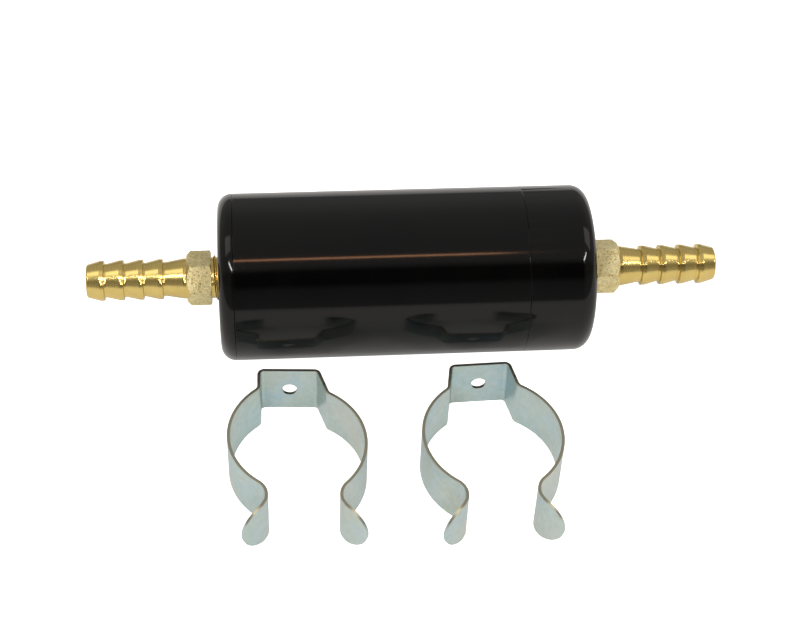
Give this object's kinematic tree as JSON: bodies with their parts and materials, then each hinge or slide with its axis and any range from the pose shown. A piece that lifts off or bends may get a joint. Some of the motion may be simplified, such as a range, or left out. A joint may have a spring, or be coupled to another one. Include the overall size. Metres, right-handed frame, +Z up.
{
  "type": "magnetic system filter",
  "caption": "Inline magnetic water filter: glossy black cylindrical canister with a brass hose barb at each end, beside the spring clips that hold it on a wall.",
  "frame": {"origin": "middle of the canister on its own axis; the object lies on a table at z = -0.025 m", "axes": "+X along the canister from the inlet to the outlet and its service cap, +Z up, the clips stand on the -Y side"},
  "size_m": [0.1894, 0.1115, 0.05],
  "materials": {
    "black_anodised": "turned aluminium, black anodised, glossy",
    "brass": "turned brass, bright, with fine lathe marks",
    "seal_rubber": "smooth black rubber",
    "stainless": "plain stainless steel",
    "magnet_plating": "nickel plated",
    "pole_steel": "plain mild steel",
    "zinc_plated_spring_steel": "bright zinc plate, bluish, slightly mottled"
  },
  "bodies": {
    "canister": {"barrel": "black_anodised", "inlet_end_plug": "black_anodised", "inlet_plug_o_ring": "seal_rubber", "inlet_hose_barb": "brass"},
    "cap_seal": {"cap_o_ring": "seal_rubber"},
    "service_cap": {"service_cap": "black_anodised", "outlet_hose_barb": "brass", "magnet_sleeve": "stainless", "sleeve_nose_plug": "stainless", "sleeve_tail_plug": "stainless", "core_washer": "stainless", "core_nut": "stainless", "strainer_screen": "stainless", "strainer_front_ring": "stainless", "strainer_front_spider": "stainless", "strainer_rear_plate": "stainless", "core_spider": "stainless", "spider_retaining_ring": "stainless", "magnet_1": "magnet_plating", "magnet_2": "magnet_plating", "magnet_3": "magnet_plating", "magnet_4": "magnet_plating", "pole_piece_1": "pole_steel", "pole_piece_2": "pole_steel", "pole_piece_3": "pole_steel", "pole_piece_4": "pole_steel", "pole_piece_5": "pole_steel"},
    "clip_1": {"clip_1_bridge": "zinc_plated_spring_steel"},
    "clip_1_left_arm": {"clip_1_left_arm": "zinc_plated_spring_steel"},
    "clip_1_right_arm": {"clip_1_right_arm": "zinc_plated_spring_steel"},
    "clip_2": {"clip_2_bridge": "zinc_plated_spring_steel"},
    "clip_2_left_arm": {"clip_2_left_arm": "zinc_plated_spring_steel"},
    "clip_2_right_arm": {"clip_2_right_arm": "zinc_plated_spring_steel"}
  },
  "joints": [
    {"name": "cap_travel", "type": "slide", "parent": "canister", "child": "cap_seal", "axis": [1, 0, 0], "range_m": [0, 0.009]},
    {"name": "cap_turn", "type": "hinge", "parent": "cap_seal", "child": "service_cap", "pos_m": [0, 0, 0], "axis": [1, 0, 0], "range_deg": [0, 2160]},
    {"name": "clip_1_lift", "type": "slide", "parent": "canister", "child": "clip_1", "axis": [0, 0, 1], "range_m": [0, 0.08]},
    {"name": "clip_2_lift", "type": "slide", "parent": "canister", "child": "clip_2", "axis": [0, 0, 1], "range_m": [0, 0.08]},
    {"name": "clip_1_left_spring", "type": "hinge", "parent": "clip_1", "child": "clip_1_left_arm", "pos_m": [-0.04455, -0.03594, -0.0169], "axis": [0, 0, -1], "range_deg": [-3, 22], "stiffness_Nm_per_rad": 2},
    {"name": "clip_1_right_spring", "type": "hinge", "parent": "clip_1", "child": "clip_1_right_arm", "pos_m": [-0.0248, -0.03877, -0.0169], "axis": [0, 0, 1], "range_deg": [-3, 12], "stiffness_Nm_per_rad": 2},
    {"name": "clip_2_left_spring", "type": "hinge", "parent": "clip_2", "child": "clip_2_left_arm", "pos_m": [0.01072, -0.03858, -0.0169], "axis": [0, 0, -1], "range_deg": [-3, 12], "stiffness_Nm_per_rad": 2},
    {"name": "clip_2_right_spring", "type": "hinge", "parent": "clip_2", "child": "clip_2_right_arm", "pos_m": [0.03089, -0.03821, -0.0169], "axis": [0, 0, 1], "range_deg": [-3, 22], "stiffness_Nm_per_rad": 2}
  ],
  "couplings": [
    {"joint": "cap_turn", "follows": "cap_travel", "rad_per_m": 4188.8}
  ]
}
